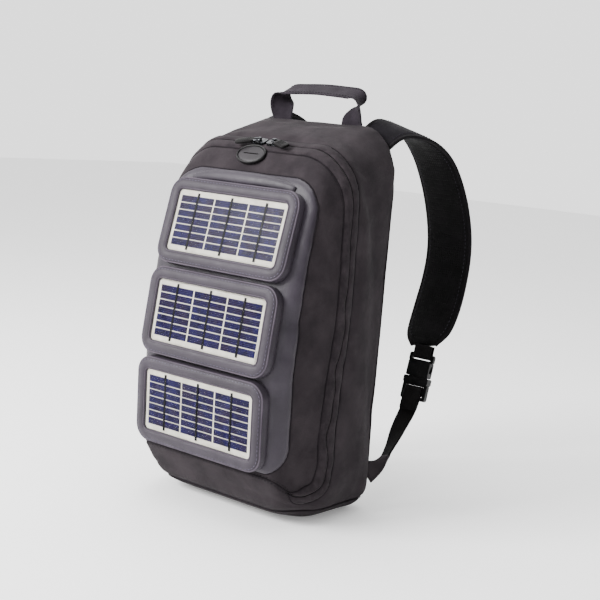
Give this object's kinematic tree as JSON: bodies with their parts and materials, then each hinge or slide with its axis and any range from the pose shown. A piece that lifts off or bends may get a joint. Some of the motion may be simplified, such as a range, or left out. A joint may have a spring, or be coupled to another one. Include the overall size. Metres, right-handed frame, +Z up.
{
  "type": "backpack",
  "caption": "Soft daypack with solar panels on a fold-down front lid, a zip round the lid, grab handle, and padded shoulder straps with side-release buckles",
  "frame": {"origin": "on the floor, under the middle of the zip plane, on the flat base", "axes": "+Z up; the solar panels face -Y; the wearer's back is on the +Y side; +X is to the right of someone who looks at the panels"},
  "size_m": [0.292, 0.3477, 0.5092],
  "materials": {
    "body_fabric": "water-resistant polyester canvas",
    "lid_fabric": "water-resistant polyester canvas",
    "flap_fabric": "smooth coated polyester over moulded foam",
    "frame_fabric": "smooth coated polyester, padded, with topstitching",
    "panel_backsheet": "laminated backsheet",
    "solar_cell": "polycrystalline silicon with antireflection coat",
    "cell_ribbon": "tinned copper ribbon",
    "panel_cover": "clear laminated front sheet",
    "electronics_case": "moulded case",
    "battery_case": "moulded case",
    "cable": "round jacketed lead",
    "zip_tape": "body fabric sewn over the zip tape",
    "zip_coil": "nylon coil",
    "zip_slider": "die-cast slider, dark plated",
    "pull_rubber": "moulded pull",
    "badge_rim": "moulded rim",
    "badge_disc": "plain disc",
    "webbing": "nylon webbing",
    "webbing_dark": "nylon webbing",
    "strap_mesh": "spacer mesh and polyester over foam",
    "back_mesh": "spacer mesh over foam",
    "buckle_plastic": "acetal",
    "lining": "nylon lining",
    "board": "polyethylene board"
  },
  "bodies": {
    "bag": {"rear_shell": "body_fabric", "zipper_tape_rear": "zip_tape", "zipper_coil_rear": "zip_coil", "base_stiffener": "board", "back_pad": "back_mesh", "laptop_sleeve": "lining", "handle_anchor_patches": "body_fabric", "strap_yoke_left": "body_fabric", "shoulder_strap_left": "strap_mesh", "upper_webbing_left": "webbing_dark", "buckle_socket_left": "buckle_plastic", "lower_tab_left": "body_fabric", "lower_webbing_left": "webbing_dark", "strap_yoke_right": "body_fabric", "shoulder_strap_right": "strap_mesh", "upper_webbing_right": "webbing_dark", "buckle_socket_right": "buckle_plastic", "lower_tab_right": "body_fabric", "lower_webbing_right": "webbing_dark"},
    "lid": {"front_shell": "lid_fabric", "zipper_tape_front": "zip_tape", "zipper_coil_front": "zip_coil", "solar_flap": "flap_fabric", "panel_frame_top": "frame_fabric", "panel_backsheet_top": "panel_backsheet", "panel_cells_top": "solar_cell", "panel_ribbons_top": "cell_ribbon", "panel_cover_top": "panel_cover", "panel_junction_box_top": "electronics_case", "panel_frame_middle": "frame_fabric", "panel_backsheet_middle": "panel_backsheet", "panel_cells_middle": "solar_cell", "panel_ribbons_middle": "cell_ribbon", "panel_cover_middle": "panel_cover", "panel_junction_box_middle": "electronics_case", "panel_frame_bottom": "frame_fabric", "panel_backsheet_bottom": "panel_backsheet", "panel_cells_bottom": "solar_cell", "panel_ribbons_bottom": "cell_ribbon", "panel_cover_bottom": "panel_cover", "panel_junction_box_bottom": "electronics_case", "panel_harness": "cable", "lead_combiner": "electronics_case", "battery_pack": "battery_case", "charge_controller": "electronics_case", "battery_pocket": "lining", "badge_rim": "badge_rim", "badge_disc": "badge_disc"},
    "handle": {"carry_handle": "webbing"},
    "slider_left": {"zipper_slider_left": "zip_slider"},
    "pull_left": {"zipper_pull_left": "pull_rubber"},
    "plug_left": {"buckle_plug_left": "buckle_plastic"},
    "prong_left_outer": {"buckle_prong_left_outer": "buckle_plastic"},
    "prong_left_inner": {"buckle_prong_left_inner": "buckle_plastic"},
    "slider_right": {"zipper_slider_right": "zip_slider"},
    "pull_right": {"zipper_pull_right": "pull_rubber"},
    "plug_right": {"buckle_plug_right": "buckle_plastic"},
    "prong_right_outer": {"buckle_prong_right_outer": "buckle_plastic"},
    "prong_right_inner": {"buckle_prong_right_inner": "buckle_plastic"}
  },
  "joints": [
    {"name": "lid_hinge", "type": "hinge", "parent": "bag", "child": "lid", "pos_m": [0, -0.075, 0.064], "axis": [1, 0, 0], "range_deg": [0, 90]},
    {"name": "zip_left", "type": "slide", "parent": "lid", "child": "slider_left", "axis": [-1, 0, 0], "range_m": [0, 0.045]},
    {"name": "pull_left", "type": "hinge", "parent": "slider_left", "child": "pull_left", "pos_m": [-0.0085, -0.00694, 0.43743], "axis": [-0.4067, 0.8256, 0.3911], "range_deg": [0, 80]},
    {"name": "buckle_left", "type": "slide", "parent": "bag", "child": "plug_left", "axis": [0, -0.2419, -0.9703], "range_m": [0, 0.018], "deforming": ["lower_webbing_left"]},
    {"name": "prong_left_outer", "type": "hinge", "parent": "plug_left", "child": "prong_left_outer", "pos_m": [-0.1312, 0.18729, 0.15416], "axis": [0, 0.9703, -0.2419], "range_deg": [0, 24]},
    {"name": "prong_left_inner", "type": "hinge", "parent": "plug_left", "child": "prong_left_inner", "pos_m": [-0.1108, 0.18729, 0.15416], "axis": [0, -0.9703, 0.2419], "range_deg": [0, 24]},
    {"name": "zip_right", "type": "slide", "parent": "lid", "child": "slider_right", "axis": [1, 0, 0], "range_m": [0, 0.045]},
    {"name": "pull_right", "type": "hinge", "parent": "slider_right", "child": "pull_right", "pos_m": [0.0135, -0.00694, 0.43743], "axis": [-0.4067, -0.8256, -0.3911], "range_deg": [0, 80]},
    {"name": "buckle_right", "type": "slide", "parent": "bag", "child": "plug_right", "axis": [0, -0.2419, -0.9703], "range_m": [0, 0.018], "deforming": ["lower_webbing_right"]},
    {"name": "prong_right_outer", "type": "hinge", "parent": "plug_right", "child": "prong_right_outer", "pos_m": [0.1312, 0.18729, 0.15416], "axis": [0, -0.9703, 0.2419], "range_deg": [0, 24]},
    {"name": "prong_right_inner", "type": "hinge", "parent": "plug_right", "child": "prong_right_inner", "pos_m": [0.1108, 0.18729, 0.15416], "axis": [0, 0.9703, -0.2419], "range_deg": [0, 24]},
    {"name": "handle_flop", "type": "hinge", "parent": "bag", "child": "handle", "pos_m": [0, 0.0885, 0.4668], "axis": [1, 0, 0], "range_deg": [-45, 80]}
  ],
  "couplings": [
    {"joint": "prong_left_outer", "follows": "buckle_left", "rad_per_m": 22.9},
    {"joint": "prong_left_inner", "follows": "buckle_left", "rad_per_m": 22.9},
    {"joint": "prong_right_outer", "follows": "buckle_right", "rad_per_m": 22.9},
    {"joint": "prong_right_inner", "follows": "buckle_right", "rad_per_m": 22.9}
  ]
}
